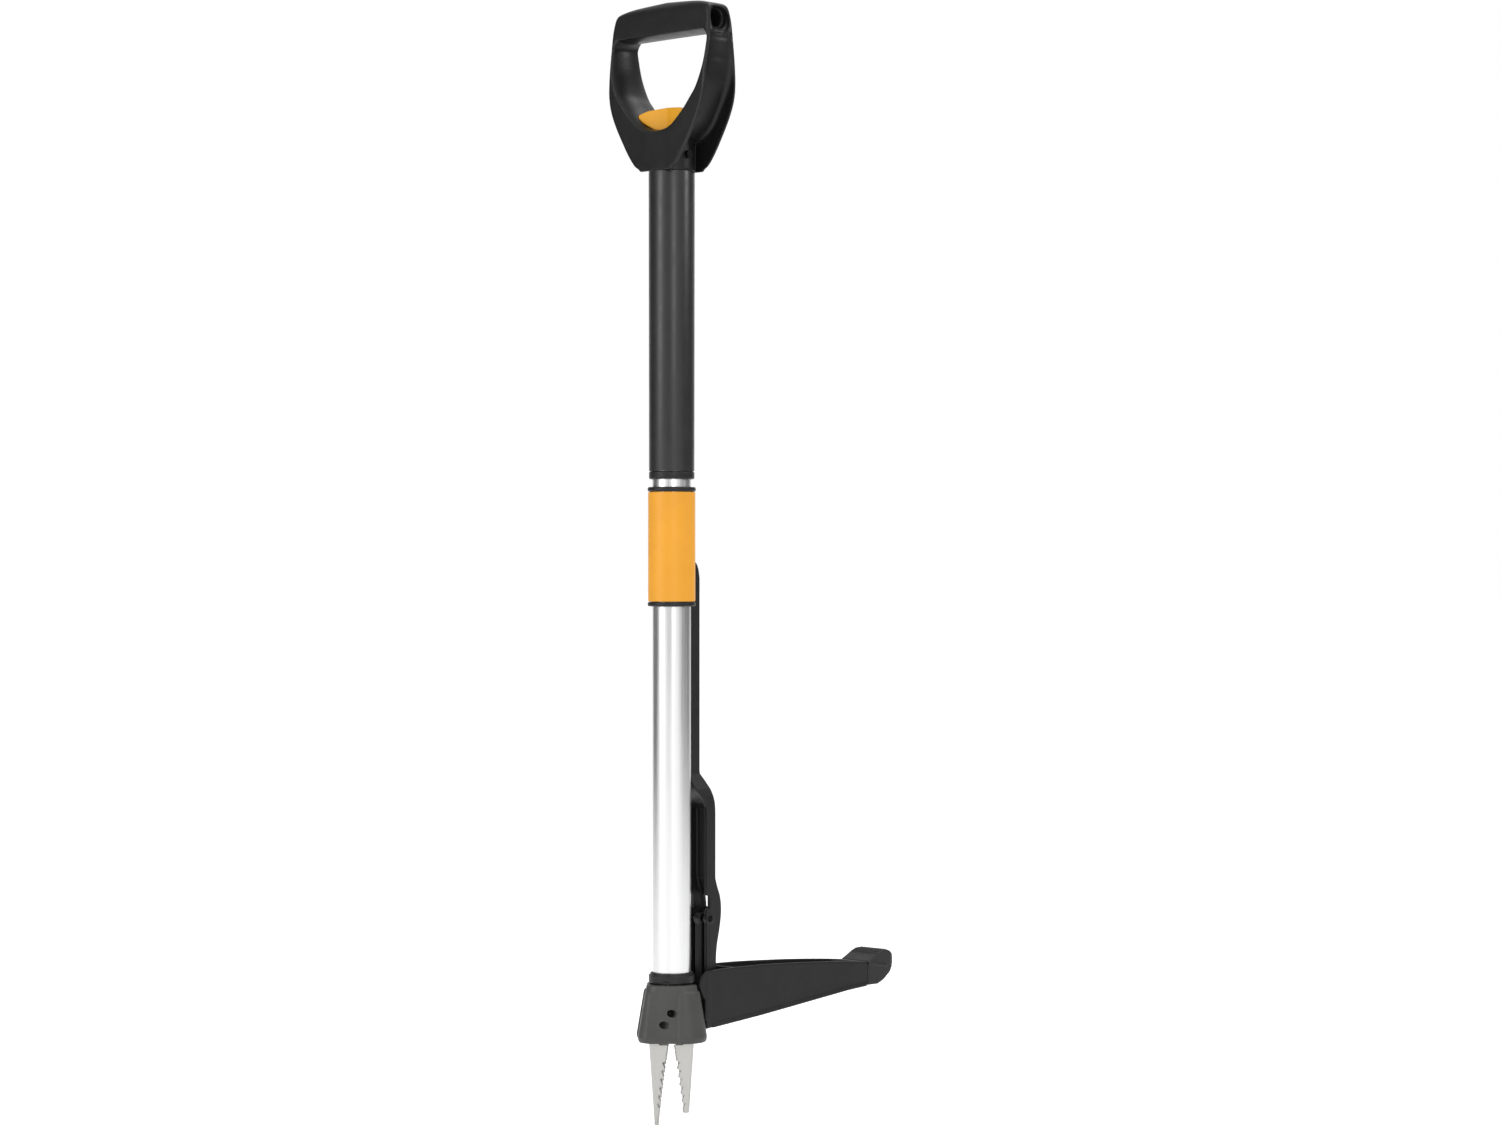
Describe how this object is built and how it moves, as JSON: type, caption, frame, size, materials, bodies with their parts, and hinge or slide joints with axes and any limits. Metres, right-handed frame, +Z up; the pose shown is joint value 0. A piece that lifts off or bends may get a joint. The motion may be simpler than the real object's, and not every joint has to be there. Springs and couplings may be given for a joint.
{
  "type": "stand up weeder",
  "caption": "Stand up weed puller with a telescopic D-handle shaft, serrated steel claws, a long foot pedal that moves the front claw, and a slide sleeve that pushes it open to drop the weed.",
  "frame": {"origin": "on the tube's axis at the head block's flat underside, where the tool stops at soil level", "axes": "+Z up the tube to the D-handle, +X along the foot pedal, Y along the pedal's hinge and the hand bar"},
  "size_m": [0.3208, 0.125, 0.9997],
  "materials": {
    "tube": "satin anodised aluminium tube",
    "handle": "black moulded plastic with a soft sheen",
    "grip": "black plastic tube, satin",
    "black": "black moulded plastic, fine texture",
    "head": "dark grey glass-filled plastic, fine texture",
    "tread": "black ribbed tread",
    "orange": "orange plastic sleeve, satin",
    "button": "orange plastic button",
    "claw": "satin stainless steel",
    "zinc": "zinc-plated steel pins and screws",
    "nylon": "natural nylon bushings"
  },
  "bodies": {
    "shaft": {"lower_tube": "tube", "tube_top_cap": "nylon", "tube_plug": "head", "head_block": "head", "head_collar": "black", "claw_right": "claw", "claw_back": "claw", "claw_left": "claw", "claw_pin_right": "zinc", "claw_pin_back": "zinc", "claw_pin_left": "zinc", "plug_screw_right": "zinc", "plug_screw_left": "zinc", "hinge_pin": "zinc"},
    "pedal": {"pedal_lever": "black", "tread_pad": "tread", "claw_front": "claw", "claw_pin_front": "zinc"},
    "slider": {"slide_sleeve": "orange", "sleeve_ring_top": "black", "sleeve_ring_low": "black", "sleeve_liner": "nylon", "push_rod": "black", "link_pin_top": "zinc", "rod_screw_1": "zinc", "rod_screw_2": "zinc"},
    "link": {"link_bar": "black", "link_pin_low": "zinc"},
    "handle": {"upper_tube": "tube", "grip_sheath": "grip", "grip_end_ring": "black", "d_handle": "handle", "lock_carrier": "head", "lock_collet": "nylon", "handle_screw_right": "zinc", "handle_screw_left": "zinc", "release_spring": "zinc"},
    "release": {"release_button": "button", "release_rod": "zinc", "rod_clip": "zinc", "lock_cone": "zinc", "cone_nut": "zinc"}
  },
  "joints": [
    {"name": "pedal_hinge", "type": "hinge", "parent": "shaft", "child": "pedal", "pos_m": [-0.0175, 0, 0.0265], "axis": [0, 1, 0], "range_deg": [-7, 10]},
    {"name": "sleeve_slide", "type": "slide", "parent": "shaft", "child": "slider", "axis": [0, 0, 1], "range_m": [-0.0098, 0.0067]},
    {"name": "link_swing", "type": "hinge", "parent": "slider", "child": "link", "pos_m": [0.035, 0, 0.1065], "axis": [0, 1, 0], "range_deg": [-1, 1]},
    {"name": "telescope", "type": "slide", "parent": "shaft", "child": "handle", "axis": [0, 0, 1], "range_m": [0, 0.19]},
    {"name": "release_press", "type": "slide", "parent": "handle", "child": "release", "axis": [0, 0, -1], "range_m": [0, 0.005], "stiffness_N_per_m": 900, "springref_m": -0.003, "deforming": ["release_spring"]}
  ],
  "couplings": [
    {"joint": "sleeve_slide", "follows": "pedal_hinge", "m_per_rad": -0.053},
    {"joint": "link_swing", "follows": "pedal_hinge", "ratio": -0.04}
  ]
}
